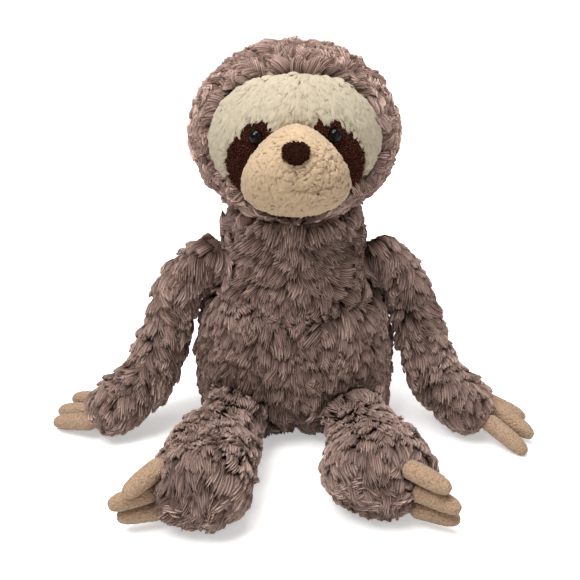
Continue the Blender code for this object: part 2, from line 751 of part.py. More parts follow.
def make_limb(name, limb, ball_radius, neck_radius, torso_skin, torso_filling):
    """A limb's skin, open at its root ball, its filling, and the ball's socket in the torso."""
    along, across, upward = limb.frame(0.0)
    neck_place = math.sqrt(ball_radius ** 2 - neck_radius ** 2) / limb.length

    def round_ring(offset, radius):
        return ellipse_ring(limb.pivot + along * offset, across, upward, radius, radius, LIMB_SEGMENTS)

    first_place = neck_place + NECK_STEP_SHARE
    places = [first_place + (1 - first_place) * step / LIMB_RINGS for step in range(LIMB_RINGS + 1)]
    open_angle = math.asin(ROOT_OPENING_RADIUS / ball_radius)
    neck_angle = math.pi - math.asin(neck_radius / ball_radius)
    ball = []
    for step in range(BALL_RINGS + 1):
        angle = open_angle + (neck_angle - open_angle) * step / BALL_RINGS
        ball.append(round_ring(-ball_radius * math.cos(angle), ball_radius * math.sin(angle)))
    outer = ball + [limb.ring(place, 0) for place in places] + limb.cap_rings(0, 0)
    inner = [round_ring(0, ROOT_OPENING_RADIUS)]
    inner += [limb.ring(place, LIMB_WALL) for place in places] + limb.cap_rings(LIMB_WALL, PAW_WALL)
    skin = loft(name + "_skin", list(reversed(inner)) + outer, FUR, limb.pivot)

    gap = LIMB_WALL + LINING_GAP
    root = ROOT_OPENING_RADIUS - LINING_GAP
    rings = [round_ring(-ball_radius * math.cos(open_angle) + SEAM_GAP, root), round_ring(0, root)]
    rings += [limb.ring(place, gap) for place in places] + limb.cap_rings(gap, PAW_WALL + LINING_GAP)
    filling = loft(name + "_filling", rings, FILLING, limb.pivot)
    carry(filling, skin)
    carry(skin, torso_skin)

    room = (ball_radius + BALL_GAP) / math.cos(math.pi / SOCKET_SEGMENTS) ** 2
    socket = guide(ball_solid(name + "_socket_guide", limb.pivot, room))
    combine(torso_skin, socket)
    combine(torso_filling, socket)
    return skin, filling


def ball_solid(name, centre, radius):
    half = SOCKET_SEGMENTS // 2
    angles = [math.pi * (step / half - 0.5) for step in range(half + 1)]
    profile = [(radius * math.cos(angle), radius * math.sin(angle)) for angle in angles[1:-1]]
    return turned(name, profile, centre, Vector((0, 0, 1)), FUR, SOCKET_SEGMENTS)


def pointing(side, turn, pitch):
    """A unit vector to the side, turned forward by one angle and raised by another, in degrees."""
    turn, pitch = math.radians(turn), math.radians(pitch)
    return Vector((
        side * math.cos(turn) * math.cos(pitch),
        -math.sin(turn) * math.cos(pitch),
        math.sin(pitch),
    ))


def make_claws(limb, side, skin, claws, length):
    """A row of stuffed claws, each hinged in its own pocket of the paw's skin."""
    roots = [limb.surface(pointing(side, turn, pitch)) for _, turn, pitch, _, _ in claws]
    row = (roots[-1] - roots[0]).normalized()
    swing = CLAW_SWING + CLAW_SWING_SPARE
    for (name, _, _, turn, pitch), root in zip(claws, roots):
        along = pointing(side, turn, pitch)
        across = (row - along * along.dot(row)).normalized()
        upward = along.cross(across)
        if upward.z < 0:
            upward = -upward
        pivot = root + along * CLAW_RISE
        rings = claw_root_rings(pivot, along, across, upward, 0)
        for place, width_share, thickness_share, droop_share in CLAW_SHARES:
            centre = pivot + along * (length * place) - upward * (CLAW_DROOP * droop_share)
            rings.append(ellipse_ring(centre, across, upward, CLAW_HALF_WIDTH * width_share,
                                      CLAW_HALF_THICKNESS * thickness_share, CLAW_SEGMENTS))
        claw = loft(name, rings, TAN, pivot)
        carry(claw, skin)

        room = claw_root_rings(pivot, along, across, upward, CLAW_GAP)
        for reach in (0, length):
            flare = CLAW_HALF_THICKNESS / math.cos(swing) + CLAW_GAP + reach * math.tan(swing)
            room.append(ellipse_ring(pivot + along * reach, across, upward, CLAW_HALF_WIDTH + CLAW_GAP, flare,
                                     CLAW_SEGMENTS))
        combine(skin, guide(loft(name + "_pocket_guide", room, TAN, pivot)))


def claw_root_rings(pivot, along, across, upward, growth):
    """The back half of a claw's root, round about the hinge that runs across the claw."""
    radius = CLAW_HALF_THICKNESS + growth
    width = CLAW_HALF_WIDTH + growth
    rings = []
    for step in range(ROOT_RINGS):
        angle = math.pi / 2 * (step + ROOT_TIP_SHARE) / ROOT_RINGS
        rings.append(ellipse_ring(pivot - along * (radius * math.cos(angle)), across, upward,
                                  width * math.sin(angle), radius * math.sin(angle), CLAW_SEGMENTS))
    return rings


def make_arms(torso_skin, torso_filling):
    spans = {
        "left": (LEFT_ARM_REACH, LEFT_ARM_FORWARD, -LEFT_ARM_DROP),
        "right": (RIGHT_ARM_REACH, RIGHT_ARM_FORWARD, -RIGHT_ARM_DROP),
    }
    for side_name, side in SIDES.items():
        pivot = Vector((side * SHOULDER_SPREAD, -SHOULDER_FORWARD, SHOULDER_HEIGHT))
        arm = Limb(pivot, side, spans[side_name], ARM_ROUTE_SHARES, ARM_SECTION_SHARES,
                   ARM_HALF_WIDTH, ARM_HALF_THICKNESS, HAND_CAP, Vector((0, 1, 0)))
        skin, _ = make_limb("arm_" + side_name, arm, SHOULDER_RADIUS, ARM_NECK_RADIUS, torso_skin, torso_filling)
        make_claws(arm, side, skin, HAND_CLAWS[side_name], HAND_CLAW_LENGTH)


def make_legs(torso_skin, torso_filling):
    spans = {
        "left": (LEFT_LEG_OUT, LEFT_LEG_FORWARD, FOOT_RISE),
        "right": (RIGHT_LEG_OUT, RIGHT_LEG_FORWARD, FOOT_RISE),
    }
    for side_name, side in SIDES.items():
        pivot = Vector((side * HIP_SPREAD, -HIP_FORWARD, HIP_HEIGHT))
        leg = Limb(pivot, side, spans[side_name], LEG_ROUTE_SHARES, LEG_SECTION_SHARES,
                   FOOT_HALF_WIDTH, FOOT_HALF_HEIGHT, FOOT_CAP, Vector((1, 0, 0)))
        skin, _ = make_limb("leg_" + side_name, leg, HIP_RADIUS, LEG_NECK_RADIUS, torso_skin, torso_filling)
        make_claws(leg, side, skin, FOOT_CLAWS[side_name], FOOT_CLAW_LENGTH)


def main():
    clear_scene()
    torso_skin, torso_filling = make_torso()
    head_skin, head_filling = make_head()
    carry(head_skin, torso_skin)
    make_face(head_skin, head_filling)
    make_arms(torso_skin, torso_filling)
    make_legs(torso_skin, torso_filling)


main()
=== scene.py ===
"""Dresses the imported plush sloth: long fur grown lock by lock, a set-in plush face, glossy eyes and velour claws."""
import math

import bpy
import numpy as np
from bpy.props import FloatProperty, FloatVectorProperty, PointerProperty
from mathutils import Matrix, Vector, geometry, noise
from mathutils.bvhtree import BVHTree


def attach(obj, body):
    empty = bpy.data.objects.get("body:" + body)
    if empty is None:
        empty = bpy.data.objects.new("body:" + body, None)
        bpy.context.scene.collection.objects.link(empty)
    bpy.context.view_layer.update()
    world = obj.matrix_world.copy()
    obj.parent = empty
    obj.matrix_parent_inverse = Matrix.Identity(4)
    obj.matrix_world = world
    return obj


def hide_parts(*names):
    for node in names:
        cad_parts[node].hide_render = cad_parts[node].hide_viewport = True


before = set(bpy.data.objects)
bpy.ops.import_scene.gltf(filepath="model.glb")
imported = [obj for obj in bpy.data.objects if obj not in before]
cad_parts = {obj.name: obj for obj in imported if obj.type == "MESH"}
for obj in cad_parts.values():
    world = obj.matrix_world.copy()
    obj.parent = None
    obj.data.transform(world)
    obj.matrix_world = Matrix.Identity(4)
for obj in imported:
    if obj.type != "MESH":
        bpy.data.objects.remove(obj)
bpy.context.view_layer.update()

bl_info = {
    "name": "Plush Sloth Dresser",
    "version": (1, 0, 0),
    "blender": (4, 5, 0),
    "location": "View3D > Sidebar > Plush",
    "description": "Grows the fur and models the face, eyes and claws of a seated plush sloth",
    "category": "Object",
}

# Face frame and outlines, the same as the part's own
HEAD_CENTRE = Vector((0, 0.005, 0.22054))
HEAD_HALF_WIDTH = 0.070
HEAD_HALF_HEIGHT = 0.060
FACE_TILT = math.radians(25)
FACE_ROLL = math.radians(1)
TOWARDS_FACE = Vector((0, -math.cos(FACE_TILT), math.sin(FACE_TILT)))
FACE_ACROSS = Vector((math.cos(FACE_ROLL), 0, 0)) + math.sin(FACE_ROLL) * Vector(
    (0, math.sin(FACE_TILT), math.cos(FACE_TILT)))
FACE_UP = TOWARDS_FACE.cross(FACE_ACROSS).normalized()
FACE_OPENING = (
    (0.0, 0.49), (0.21, 0.475), (0.41, 0.425), (0.58, 0.31), (0.71, 0.14), (0.785, -0.09),
    (0.77, -0.31), (0.71, -0.51), (0.63, -0.67), (0.53, -0.76), (0.30, -0.80), (0.0, -0.80),
)
MUZZLE_CENTRE_DROP = 0.033
NOSE_MIDDLE_UP = -0.0262
NOSE_HALF_HEIGHT = 0.0082

# Routes that the fur of the limbs follows, from the root ball to the paw
ARM_ROUTE = (
    (0.0, 0.0, 0.0), (0.16, 0.11, 0.07), (0.29, 0.19, 0.19), (0.38, 0.28, 0.37),
    (0.47, 0.43, 0.56), (0.58, 0.63, 0.75), (0.76, 0.84, 0.90), (1.0, 1.0, 1.0), (1.25, 1.2, 1.08),
)
LEG_ROUTE = ((0.0, 0.0, 0.0), (0.30, 0.26, -0.10), (0.64, 0.58, 0.35), (0.88, 0.82, 0.80), (1.0, 1.0, 1.0))
LIMBS = {
    "arm_left": ((-0.0605, 0.003, 0.129), (-0.073, -0.032, -0.107), ARM_ROUTE),
    "arm_right": ((0.0605, 0.003, 0.129), (0.068, -0.031, -0.1065), ARM_ROUTE),
    "leg_left": ((-0.043, -0.051, 0.0265), (-0.0155, -0.090, 0.0035), LEG_ROUTE),
    "leg_right": ((0.043, -0.051, 0.0265), (0.016, -0.076, 0.0035), LEG_ROUTE),
}

# A lock of pile: the stations along it, how high it rises and how wide it is there, and how its strands part
LONG_LOCK = {
    "places": (0.0, 0.30, 0.60, 0.86, 1.0), "rise": (-0.12, 0.50, 0.86, 1.0, 0.86),
    "spread": (0.62, 0.86, 0.98, 1.06, 1.02),
    "strands": 7, "crown": 0.40, "groove": 0.00048, "ragged": 0.17, "uneven": 0.00042, "soft": False,
}
SHORT_LOCK = {
    "places": (0.0, 0.42, 0.82, 1.0), "rise": (-0.12, 0.70, 1.0, 0.60), "spread": (0.80, 1.0, 1.0, 0.85),
    "strands": 4, "crown": 0.30, "groove": 0.00016, "ragged": 0.12, "uneven": 0.00010, "soft": True,
}
FINE_LOCK = dict(SHORT_LOCK, strands=3)
TINY_LOCK = {
    "places": (0.0, 0.55, 1.0), "rise": (-0.12, 0.9, 0.8), "spread": (0.8, 1.0, 0.7),
    "strands": 1, "crown": 0.60, "groove": 0.00005, "ragged": 0.05, "uneven": 0.00004, "soft": False,
}

# How much the locks differ from one another, as shares of the mean
LENGTH_SPREAD = 0.2
BEND_SPREAD = 0.22
WIDTH_SPREAD = 0.3
HEIGHT_SPREAD = 0.25
# How much lighter or darker each look of the long fur is: the hood's is painted lighter, painted light for the
# stronger light on the head, and the legs' a little darker
FUR_LIGHTNESS_WITH_PAINTED_LIGHT = {"long_fur": 1.04, "hood_fur": 1.20, "leg_fur": 0.93}

# Swirls of the fur: how many there are in a metre, and which ones
SWIRL_SCALE = 26.0
HOOD_SWIRL_SCALE = 45.0
SWIRL_SEED = 9

# Where no fur grows: under the seat, and next to a claw
GROUND_CLEARANCE = 0.0004
SEAT_BAND = 0.0045
CLAW_CLEARANCE = 0.0005

DOWN = Vector((0, 0, -1))
OUTWARD_RAY = Vector((0.31, -0.52, 0.79)).normalized()

# The stage
FLOOR_GREY = (0.86, 0.86, 0.86)
FLOOR_SEEN = (0.98, 0.98, 0.98)
FLOOR_GLOW = (0.42, 0.42, 0.42)
ROOM_LIGHT = (0.34, 0.32, 0.30, 1.0)
LIGHTS_AIM = Vector((0, -0.02, 0.13))
LIGHTS = (
    ("key_light", (-0.8, -0.9, 2.0), 1.0, 34.0),
    ("fill_light", (1.4, -1.3, 0.9), 1.5, 4.5),
    ("top_light", (0.0, -0.1, 2.2), 1.1, 29.0),
)
CAMERA_PLACE = (-0.0031, -0.7197, 0.43896)
CAMERA_TILT = math.radians(65)
CAMERA_LENS = 68.46

forms = {}
looks = {}


class PlushSizes(bpy.types.PropertyGroup):
    """Lengths of the pile and of the padding under it."""
    lock_spacing: FloatProperty(
        name="Lock spacing", description="Least distance between the roots of two locks", default=0.0039,
        unit="LENGTH")
    lock_length: FloatProperty(
        name="Lock length", description="Length of a lock of the long fur", default=0.0145, unit="LENGTH")
    lock_width: FloatProperty(
        name="Lock width", description="Width of a lock of the long fur", default=0.0088, unit="LENGTH")
    lock_height: FloatProperty(
        name="Lock height", description="How far a lock stands off the backing", default=0.0062, unit="LENGTH")
    fur_inset: FloatProperty(
        name="Backing inset", description="How far the backing lies inside the packed skins", default=0.0048,
        unit="LENGTH")
    brow_pile: FloatProperty(
        name="Brow pile", description="Length of the cream pile of the brow", default=0.0080, unit="LENGTH")
    muzzle_pile: FloatProperty(
        name="Muzzle pile", description="Length of the tan pile of the muzzle", default=0.0044, unit="LENGTH")
    patch_pile: FloatProperty(
        name="Patch pile", description="Length of the dark pile of the eye patches and nose", default=0.0014,
        unit="LENGTH")


class PlushColours(bpy.types.PropertyGroup):
    """Colours of the fabrics, from a strand's root to its tip; the darker root colours are painted shade."""
    fur_tip: FloatVectorProperty(
        name="Fur tip", description="Colour of the long fur at its tips", subtype="COLOR", size=3,
        default=(0.545, 0.395, 0.345))
    # Painted shade: the long fur is painted this dark towards its roots, where the locks overlap and shade one another
    fur_root_shade: FloatVectorProperty(
        name="Fur root", description="Colour of the long fur at its roots", subtype="COLOR", size=3,
        default=(0.056, 0.029, 0.021))
    # Painted shade: the backing between the locks is painted dark as the shade in the gaps
    fur_base_shade: FloatVectorProperty(
        name="Fur base", description="Colour of the short pile between the locks", subtype="COLOR", size=3,
        default=(0.11, 0.068, 0.054))
    cream_tip: FloatVectorProperty(
        name="Cream tip", description="Colour of the brow's pile at its tips", subtype="COLOR", size=3,
        default=(0.60, 0.54, 0.425))
    # Painted shade: the brow's pile is painted darker towards its roots and in its grooves, which its soft normals
    # leave unshaded
    cream_root_shade: FloatVectorProperty(
        name="Cream root", description="Colour of the brow's pile at its roots", subtype="COLOR", size=3,
        default=(0.44, 0.37, 0.26))
    tan_tip: FloatVectorProperty(
        name="Tan tip", description="Colour of the muzzle's and claws' pile at its tips", subtype="COLOR", size=3,
        default=(0.64, 0.49, 0.34))
    # Painted shade: the muzzle's pile is painted darker towards its roots and in its grooves
    tan_root_shade: FloatVectorProperty(
        name="Tan root", description="Colour of the muzzle's pile at its roots", subtype="COLOR", size=3,
        default=(0.46, 0.33, 0.205))
    claw_tip: FloatVectorProperty(
        name="Claw tip", description="Colour of the claws' nap at its tips", subtype="COLOR", size=3,
        default=(0.575, 0.41, 0.285))
    # Partly painted shade: the claws' nap is painted this dark between its tufts, as their shade
    claw_root_shade: FloatVectorProperty(
        name="Claw root", description="Colour of the claws' nap at its roots", subtype="COLOR", size=3,
        default=(0.275, 0.172, 0.105))
    dark_tip: FloatVectorProperty(
        name="Dark tip", description="Colour of the eye patches and nose", subtype="COLOR", size=3,
        default=(0.11, 0.040, 0.026))
    # Painted shade: the dark pile and velour are painted darker towards their roots and between the nap's tufts
    dark_root_shade: FloatVectorProperty(
        name="Dark root", description="Colour of the dark pile at its roots", subtype="COLOR", size=3,
        default=(0.010, 0.003, 0.002))


def sizes():
    return bpy.context.scene.plush_sizes


def colours():
    return bpy.context.scene.plush_colours


def clamp(share):
    return min(max(share, 0), 1)


def shaded(colour, times):
    """A colour made darker or lighter."""
    return tuple(min(c * times, 1) for c in colour)


class Wire:
    """A shader value that takes part in Python sums."""

    def __init__(self, shader, socket):
        self.shader = shader
        self.socket = socket

    def join(self, operation, first, second):
        return self.shader.node("ShaderNodeMath", {"operation": operation}, {0: first, 1: second})

    def __add__(self, other):
        return self.join("ADD", self, other)

    def __radd__(self, other):
        return self.join("ADD", other, self)

    def __sub__(self, other):
        return self.join("SUBTRACT", self, other)

    def __rsub__(self, other):
        return self.join("SUBTRACT", other, self)

    def __mul__(self, other):
        return self.join("MULTIPLY", self, other)

    def __rmul__(self, other):
        return self.join("MULTIPLY", other, self)

    def __pow__(self, other):
        return self.join("POWER", self, other)

    def __rpow__(self, other):
        return self.join("POWER", other, self)


class Shader:
    """A material under construction."""

    def __init__(self, name, roughness, sheen=0.0, shine=0.5):
        self.material = bpy.data.materials.new(name)
        self.material.use_nodes = True
        self.tree = self.material.node_tree
        self.surface = self.tree.nodes["Principled BSDF"]
        self.surface.inputs["Roughness"].default_value = roughness
        self.surface.inputs["Sheen Weight"].default_value = sheen
        self.surface.inputs["Specular IOR Level"].default_value = shine

    def node(self, kind, settings, values, output=0):
        made = self.tree.nodes.new(kind)
        for key, value in settings.items():
            setattr(made, key, value)
        for key, value in values.items():
            if isinstance(value, Wire):
                self.tree.links.new(value.socket, made.inputs[key])
            else:
                made.inputs[key].default_value = value
        return Wire(self, made.outputs[output])

    def attribute(self, name):
        return self.node("ShaderNodeAttribute", {"attribute_name": name}, {}, "Fac")

    def place(self):
        return self.node("ShaderNodeTexCoord", {}, {}, "Object")

    def noise(self, scale, detail=3.0, stretch=None):
        place = self.place()
        if stretch:
            place = self.node("ShaderNodeMapping", {}, {"Vector": place, "Scale": stretch})
        return self.node("ShaderNodeTexNoise", {}, {"Vector": place, "Scale": scale, "Detail": detail}, "Fac")

    def cells(self, scale):
        return self.node("ShaderNodeTexVoronoi", {}, {"Vector": self.place(), "Scale": scale}, "Distance")

    def blend(self, share, first, second, kind="MIX"):
        """A colour between two, by a share."""
        first, second = ((*c, 1.0) if isinstance(c, tuple) else c for c in (first, second))
        return self.node("ShaderNodeMix", {"data_type": "RGBA", "blend_type": kind, "clamp_factor": True},
                         {0: share, 6: first, 7: second}, 2)

    def multiply(self, first, second):
        """One colour times another."""
        return self.blend(1.0, first, second, "MULTIPLY")

    def paint(self, colour):
        self.tree.links.new(colour.socket, self.surface.inputs["Base Color"])

    def bump(self, height, strength, distance):
        normal = self.node("ShaderNodeBump", {}, {"Height": height, "Strength": strength, "Distance": distance})
        self.tree.links.new(normal.socket, self.surface.inputs["Normal"])


def pile_material(name, root, tip, spread, sheen, warm=(1.0, 1.0, 1.0), shine=0.15, depth=0.75, share=0.45,
                  hair=0.0):
    """Pile painted darker towards its roots, in the grooves between its strands and at its edges as painted shade,
    with each lock a little lighter, darker or warmer than the next.

    depth is how far the painted shade of the roots reaches up, share how much of a lock's own tone shows at its tip
    and hair how strong the lines between single hairs are.
    """
    root, tip = tuple(root), tuple(tip)
    shader = Shader(name, 0.9, sheen, shine)
    # along holds painted shade: low at the roots, in the grooves and at the lock's edges, high on the crests at the
    # tips
    along = shader.attribute("along")
    tint = shader.attribute("tint")
    # Painted shade: the darker root colour shows where along is low
    base = shader.blend(along ** depth, root, tip)
    own_shade = shader.blend(0.5 + (tint - 0.5) * spread, shaded(tip, 0.6), shaded(tip, 1.4))
    warmed = shader.multiply(base, shader.blend(tint, (1.0, 1.0, 1.0), warm))
    pile = shader.blend(along * share, warmed, own_shade)
    if hair:
        # Single hairs, finer than the strands of the mesh
        grain = shader.node("ShaderNodeTexNoise", {"noise_dimensions": "1D"},
                            {"W": shader.attribute("strand"), "Scale": 1.9, "Detail": 2.0}, "Fac")
        hairs = (grain - 0.5) * 2.4 + 0.5
        pile = shader.multiply(pile, shader.blend(hairs, (1 - hair,) * 3, (1 + hair,) * 3))
        shader.bump(hairs, strength=0.6, distance=0.0004)
    shader.paint(pile)
    return shader.material


def backing_material(name, colour, sheen=0.1, scale=900):
    """Short dense pile seen between the locks, painted in the shade colour of the gaps between them."""
    shader = Shader(name, 0.95, sheen, 0.15)
    grain = shader.noise(scale, 4.0)
    shader.paint(shader.blend(grain, shaded(colour, 0.7), shaded(colour, 1.3)))
    shader.bump(grain, strength=0.6, distance=0.0006)
    return shader.material


def velour_material(name, root, tip, scale, depth, sheen, shine):
    """Short cut pile with a granular nap, partly its own grain and partly painted light: light on the nap's tufts as
    their highlights and dark between them as their shade.
    """
    root, tip = tuple(root), tuple(tip)
    shader = Shader(name, 0.85, sheen, shine)
    nap = shader.cells(scale)
    cloud = shader.noise(55, 3.0)
    shader.paint(shader.blend(nap * 0.75 + cloud * 0.5, tip, root))
    shader.bump(1.0 - nap + shader.noise(scale * 0.45, 3.0) * 0.8, strength=0.8, distance=depth)
    return shader.material


def plastic_material(name, colour, roughness, shine):
    """Smooth plastic with a faint cloud in its colour."""
    shader = Shader(name, roughness, 0.0, shine)
    cloud = shader.noise(260, 2.0)
    shader.paint(shader.blend(cloud, colour, tuple(min(c * 1.25 + 0.0005, 1) for c in colour)))
    return shader.material


def fibre_material(name, colour):
    """Loose fibre inside the toy: fine tangled lines."""
    shader = Shader(name, 0.95, 0.2)
    tangle = shader.noise(420, 6.0, (1.0, 1.0, 0.25))
    shader.paint(shader.blend(tangle, shaded(colour, 0.82), colour))
    shader.bump(tangle, strength=0.7, distance=0.001)
    return shader.material


def weave_material(name, colour):
    """Plain woven cloth: threads one way over threads the other."""
    shader = Shader(name, 0.9)
    waves = [shader.node("ShaderNodeTexWave", {"bands_direction": axis},
                         {"Vector": shader.place(), "Scale": 420.0}, "Fac") for axis in ("X", "Y")]
    cloth = waves[0] * waves[1]
    shader.paint(shader.blend(cloth, shaded(colour, 0.75), colour))
    shader.bump(cloth, strength=0.5, distance=0.0004)
    return shader.material


def only(piece):
    """Selects one piece and makes it active."""
    bpy.ops.object.select_all(action="DESELECT")
    piece.select_set(True)
    bpy.context.view_layer.objects.active = piece


def modify(piece, kind, **settings):
    """Adds a modifier and applies it."""
    only(piece)
    bpy.ops.object.modifier_add(type=kind)
    modifier = piece.modifiers[-1]
    for key, value in settings.items():
        setattr(modifier, key, value)
    bpy.ops.object.modifier_apply(modifier=modifier.name)


def copy_of(name, nodes):
    """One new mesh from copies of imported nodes, with their loose triangles merged."""
    bpy.ops.object.select_all(action="DESELECT")
    copies = []
    for node in nodes:
        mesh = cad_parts[node].data.copy()
        mesh.materials.clear()
        copy = bpy.data.objects.new(name, mesh)
        bpy.context.scene.collection.objects.link(copy)
        copy.select_set(True)
        copies.append(copy)
    piece = copies[0]
    bpy.context.view_layer.objects.active = piece
    if len(copies) > 1:
        bpy.ops.object.join()
    only(piece)
    bpy.ops.object.mode_set(mode="EDIT")
    bpy.ops.mesh.select_all(action="SELECT")
    bpy.ops.mesh.remove_doubles(threshold=0.00001)
    bpy.ops.object.mode_set(mode="OBJECT")
    piece.name = piece.data.name = name
    return piece


def finish_piece(piece, material, body, slot, *nodes):
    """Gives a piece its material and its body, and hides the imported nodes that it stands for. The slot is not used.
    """
    piece.data.materials.clear()
    piece.data.materials.append(material)
    piece.data.shade_smooth()
    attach(piece, body)
    if nodes:
        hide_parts(*nodes)


def stuffed_form(name, nodes, body, material, slot, replaced, inset, voxel, smoothing, shape=None):
    """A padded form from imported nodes: remeshed as one skin, drawn in for the pile, smoothed and shaped."""
    piece = copy_of(name, nodes)
    modify(piece, "REMESH", mode="VOXEL", voxel_size=voxel)
    if inset:
        modify(piece, "DISPLACE", strength=-inset, mid_level=0.0, direction="NORMAL")
    modify(piece, "SMOOTH", factor=0.5, iterations=smoothing)
    if shape:
        move_points(piece, shape)
    finish_piece(piece, material, body, slot, *replaced)
    forms[name] = piece
    return piece


def move_points(piece, shape):
    """Moves each point of a piece by what a function of its place and normal gives."""
    rows = [(vertex.co.copy(), vertex.normal.copy()) for vertex in piece.data.vertices]
    moved = [place + shape(place, normal) for place, normal in rows]
    piece.data.vertices.foreach_set("co", np.array(moved, np.float32).ravel())
    piece.data.update()


def tree_of(*pieces):
    """One search tree over the faces of all the pieces."""
    places, faces = [], []
    for piece in pieces:
        first = len(places)
        places += [vertex.co.copy() for vertex in piece.data.vertices]
        faces += [[first + corner for corner in polygon.vertices] for polygon in piece.data.polygons]
    return BVHTree.FromPolygons(places, faces)


def gap_to(tree, point):
    """How far a point lies outside a closed form, negative inside it, by counting the walls on its way out."""
    gap = tree.find_nearest(point)[3]
    walls = 0
    place = point
    while walls < 60:
        place = tree.ray_cast(place, OUTWARD_RAY)[0]
        if place is None:
            break
        walls += 1
        place = place + OUTWARD_RAY * 0.000001
    return -gap if walls % 2 else gap


def table(rows, key, width, kind):
    """What each row of a mesh holds under a key, as one array."""
    values = np.empty(len(rows) * width, kind)
    rows.foreach_get(key, values)
    return values.reshape(-1, width)


def scatter(piece, spacing, seed):
    """Points spread evenly at random over a piece, no two nearer than a spacing, with their normals."""
    mesh = piece.data
    mesh.calc_loop_triangles()
    places = table(mesh.vertices, "co", 3, float)
    normals = table(mesh.vertex_normals, "vector", 3, np.float32)
    triangles = table(mesh.loop_triangles, "vertices", 3, np.int32)
    a, b, c = (places[triangles[:, i]] for i in range(3))
    areas = np.linalg.norm(np.cross(b - a, c - a), axis=1) / 2
    draws = np.random.default_rng(seed)
    tries = int(areas.sum() / spacing ** 2 * 6)
    chosen = draws.choice(len(areas), tries, p=areas / areas.sum())
    u, v = draws.random((2, tries))
    flip = u + v > 1
    u[flip], v[flip] = 1 - u[flip], 1 - v[flip]
    weights = np.stack((1 - u - v, u, v), 1)[:, :, None]
    points = (places[triangles[chosen]] * weights).sum(1)
    outward = (normals[triangles[chosen]] * weights).sum(1)
    outward /= np.linalg.norm(outward, axis=1)[:, None]
    taken = {}
    kept = []
    limit = spacing ** 2
    cells = np.floor(points / spacing).astype(int)
    near = [(i, j, k) for i in (-1, 0, 1) for j in (-1, 0, 1) for k in (-1, 0, 1)]
    for index in range(tries):
        cell = tuple(cells[index])
        point = points[index]
        clear = True
        for step in near:
            for other in taken.get((cell[0] + step[0], cell[1] + step[1], cell[2] + step[2]), ()):
                gap = points[other] - point
                if gap[0] * gap[0] + gap[1] * gap[1] + gap[2] * gap[2] < limit:
                    clear = False
                    break
            if not clear:
                break
        if clear:
            taken.setdefault(cell, []).append(index)
            kept.append(index)
    return points[kept], outward[kept]


def unit(rows):
    """The rows of an array at length one."""
    return rows / np.maximum(np.linalg.norm(rows, axis=-1, keepdims=True), 1e-9)


class Coat:
    """Pile on a form: roots, the way each lock lies, and the mesh of its strands."""

    def __init__(self, form, spacing, seed, keep, flow, length, swirl, jitter, sink=0.0, ground=(), stay=None):
        self.draws = np.random.default_rng(seed)
        tree = tree_of(form, *ground)
        points, normals = scatter(form, spacing, seed)
        rows = []
        for point, normal in zip(points, normals):
            point, normal = Vector(point), Vector(normal)
            scale = keep(point, normal)
            if scale <= 0:
                continue
            stray = swirl * noise.noise_vector(point * SWIRL_SCALE) + jitter * Vector(self.draws.normal(size=3))
            step = length * scale * (1 + LENGTH_SPREAD * float(self.draws.normal())) / 2
            bend = BEND_SPREAD * float(self.draws.normal())
            place, facing, walk = point, normal, []
            for turn in (0, bend):
                way = flow(place, facing) + stray
                way += facing.cross(way) * turn
                way -= facing * way.dot(facing)
                way = way.normalized() if way.length > 1e-6 else facing.orthogonal().normalized()
                before = facing
                place, facing, _, _ = tree.find_nearest(place + (way - facing * sink) * step)
                if facing.dot(before) < 0 and not sink:
                    facing = before
                walk += [place, facing]
            half, _, end, end_normal = walk
            if stay and not (stay(half) and stay(end)):
                continue
            rows.append((*point, *normal, *half, *end, *end_normal, scale))
        self.rows = np.array(rows)

    def locks(self, name, chosen, lock, width, height, pale=0.0):
        """One mesh of chosen locks, each a closed leaf of strands that lie side by side."""
        rows = self.rows[chosen]
        count = len(rows)
        draws = self.draws
        root, normal, half, end, end_normal = (rows[:, None, None, 3 * i:3 * i + 3] for i in range(5))
        scale = np.sqrt(rows[:, 15])[:, None]
        columns = 2 * lock["strands"] + 1
        crest = np.where(np.arange(columns) % 2, 1.0, -1.0)[None, :]
        places, rises, spreads = (np.array(lock[key])[None, None, :] for key in ("places", "rise", "spread"))

        across = np.linspace(-1, 1, columns)[None, :] + draws.normal(size=(count, columns)) * (0.3 / columns)
        shorter = 1 - 0.16 * across ** 2 + 0.04 * crest + lock["ragged"] * draws.normal(size=(count, columns))
        share = (places * np.clip(shorter, 0.4, 1.15)[:, :, None])[..., None]
        widths = width / 2 * np.clip(1 + WIDTH_SPREAD * draws.normal(size=(count, 1)), 0.5, 1.7) * scale
        heights = height * np.clip(1 + HEIGHT_SPREAD * draws.normal(size=(count, 1)), 0.4, 1.4) * scale
        lift = (heights * (1 - lock["crown"] * np.minimum(across ** 2, 1.2)))[:, :, None] * rises
        groove = lock["groove"] * crest + lock["uneven"] * draws.normal(size=(count, columns)) * (crest > 0)
        lift = lift + (groove * scale)[:, :, None] * np.minimum(places * 2.5, 1)

        middle = 2 * half - (root + end) / 2
        base = (1 - share) ** 2 * root + 2 * share * (1 - share) * middle + share ** 2 * end
        up = unit((1 - share) * normal + share * end_normal)
        along = unit(2 * (1 - share) * (middle - root) + 2 * share * (end - middle) + 1e-7)
        side = np.cross(up, along)
        points = base + up * lift[..., None] + side * ((across * widths)[:, :, None] * spreads)[..., None]
        points[..., 2] = np.maximum(points[..., 2], GROUND_CLEARANCE)

        # Painted shade: the grooves between strands and the lock's edges are painted darker, and through places the
        # roots too; this goes to the along attribute
        depth = (0.68 + 0.32 * crest) * (1 - 0.3 * np.minimum(across ** 2, 1))
        shade = places * depth[:, :, None]
        # pale lifts every lock of a coat: on the hood it is painted light, for the stronger light on the head
        tint = draws.random((count, 1)) * 0.75 + draws.random((count, columns)) * 0.25 + pale
        tint = np.repeat(tint[:, :, None], places.size, 2)
        facing = unit(up + side * across[:, :, None, None] * 0.45 + along * (places[..., None] - 0.5) * 0.5)
        # Each strand has its own number, which the fine lines of colour follow
        strand = np.arange(count)[:, None, None] % 499 * 37.0 + np.arange(columns)[None, :, None]
        layers = {"along": shade, "tint": tint, "strand": np.broadcast_to(strand, shade.shape)}
        return lock_mesh(name, points, facing if lock["soft"] else None, layers, lock["places"])


